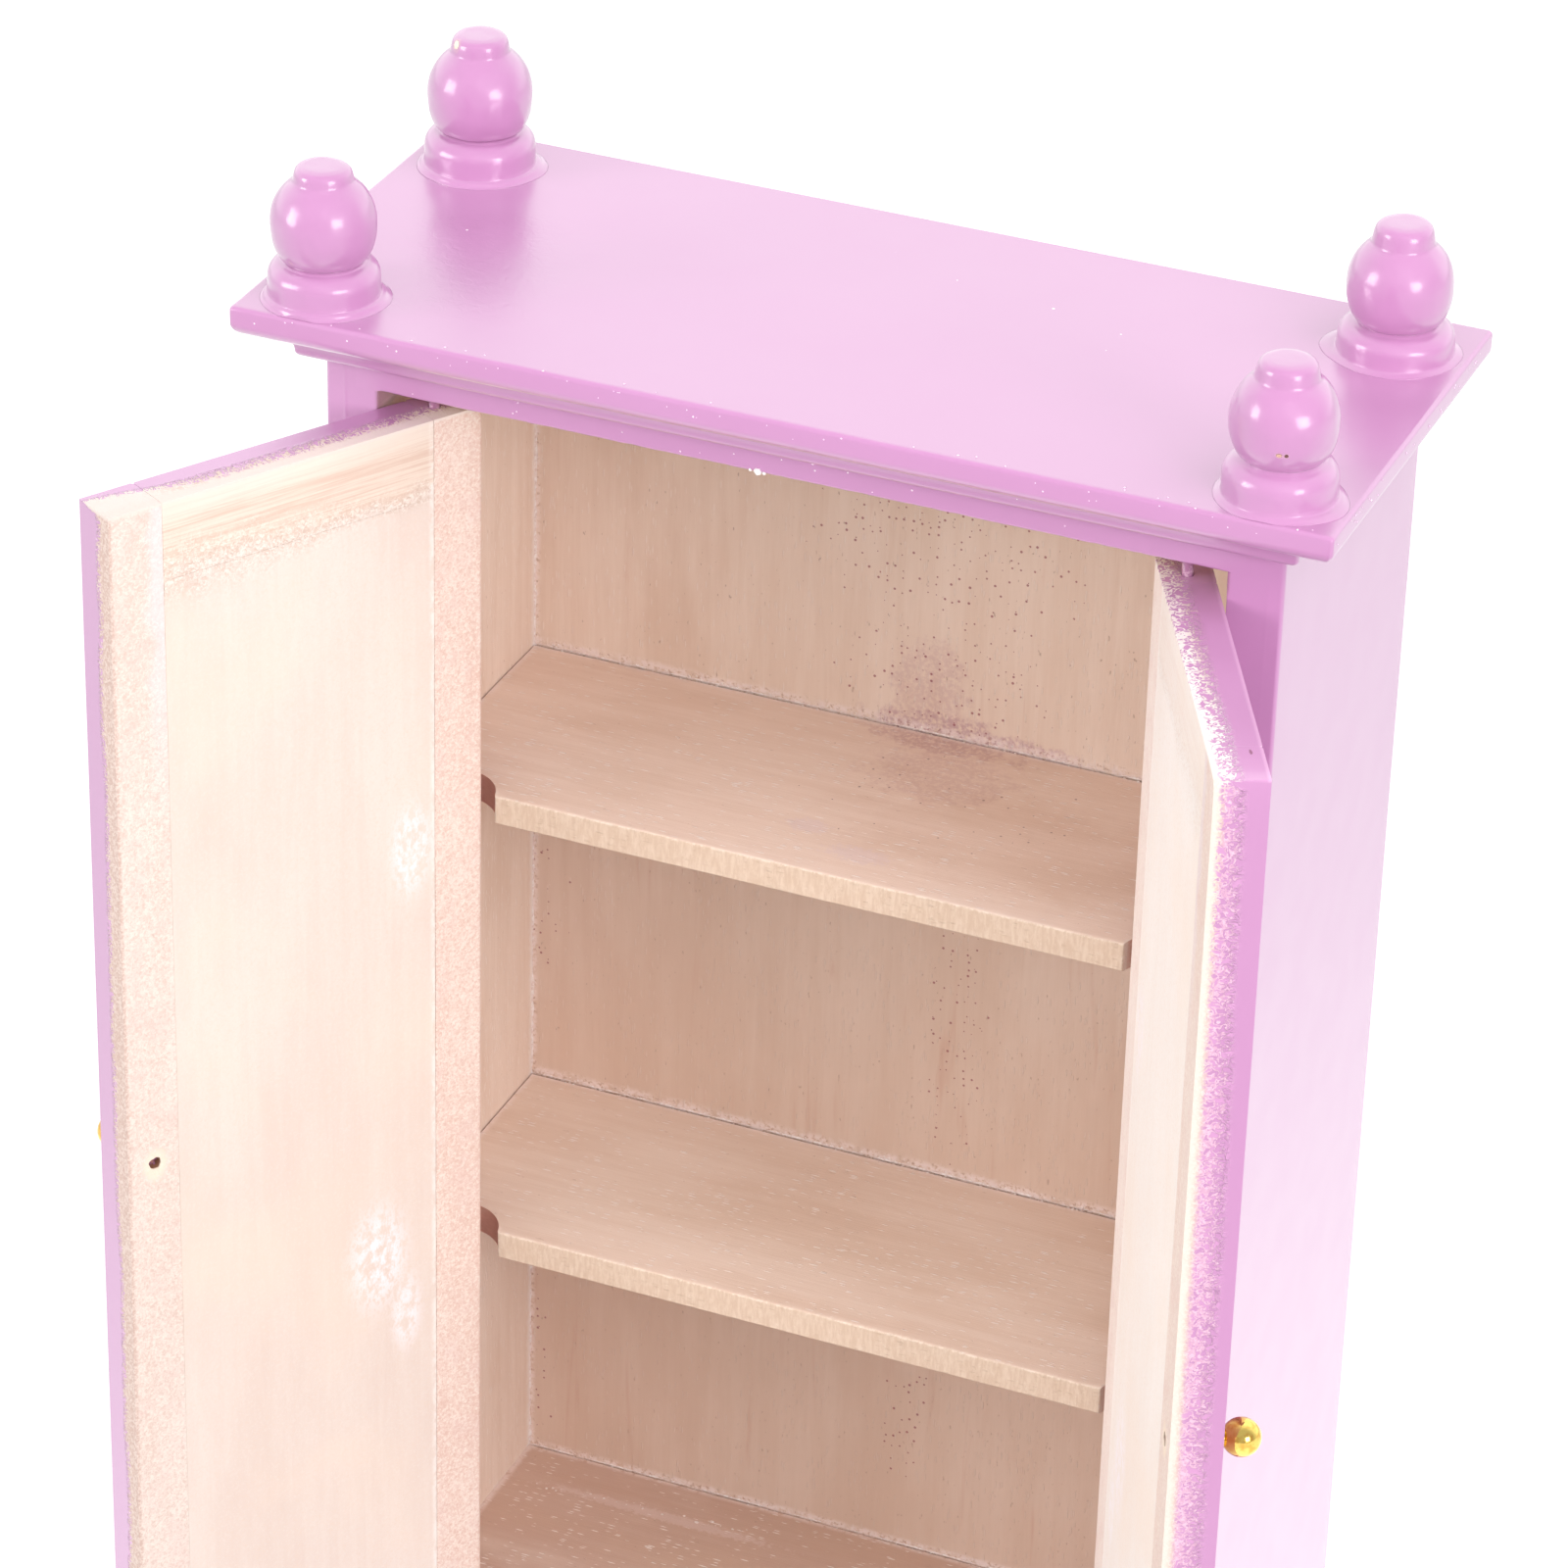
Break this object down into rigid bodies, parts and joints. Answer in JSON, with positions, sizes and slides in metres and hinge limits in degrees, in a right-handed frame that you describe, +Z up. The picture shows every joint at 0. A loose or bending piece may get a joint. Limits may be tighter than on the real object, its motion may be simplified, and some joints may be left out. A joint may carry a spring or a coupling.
{
  "type": "dolls house wardrobe",
  "caption": "Miniature two-door wardrobe with a moulded cornice, turned ball finials, fixed shelves and brass ball knobs, doors standing open on pivot pins.",
  "frame": {"origin": "centre of the flat underside of the base, on the floor", "axes": "+Z up, the doors face -Y, +X to the right when looking at the doors"},
  "size_m": [0.1109, 0.0666, 0.1627],
  "materials": {
    "painted_wood": "satin lilac-pink paint, bare wood on hidden and inner faces",
    "back_wood": "bare plywood, vertical grain inside, painted outside",
    "shelf_wood": "bare sanded wood",
    "door_wood": "bare sanded wood inside, satin lilac-pink paint outside",
    "knob_brass": "polished",
    "pin_steel": "plain wire"
  },
  "bodies": {
    "carcase": {"left_side": "painted_wood", "right_side": "painted_wood", "back_panel": "back_wood", "top_board": "painted_wood", "bottom_board": "shelf_wood", "upper_shelf": "shelf_wood", "lower_shelf": "shelf_wood", "cornice": "painted_wood", "base": "painted_wood", "finial_front_left": "painted_wood", "finial_front_right": "painted_wood", "finial_rear_left": "painted_wood", "finial_rear_right": "painted_wood", "hinge_pins": "pin_steel"},
    "left_door": {"left_hinge_stile": "door_wood", "left_meeting_stile": "door_wood", "left_top_rail": "door_wood", "left_bottom_rail": "door_wood", "left_door_panel": "door_wood", "left_knob": "knob_brass"},
    "right_door": {"right_hinge_stile": "door_wood", "right_meeting_stile": "door_wood", "right_top_rail": "door_wood", "right_bottom_rail": "door_wood", "right_door_panel": "door_wood", "right_knob": "knob_brass"}
  },
  "joints": [
    {"name": "left_door_hinge", "type": "hinge", "parent": "carcase", "child": "left_door", "pos_m": [-0.0348, -0.0123, 0.0753], "axis": [0, 0, 1], "range_deg": [-1.5, 120]},
    {"name": "right_door_hinge", "type": "hinge", "parent": "carcase", "child": "right_door", "pos_m": [0.0348, -0.0123, 0.0753], "axis": [0, 0, -1], "range_deg": [-4.5, 117]}
  ]
}
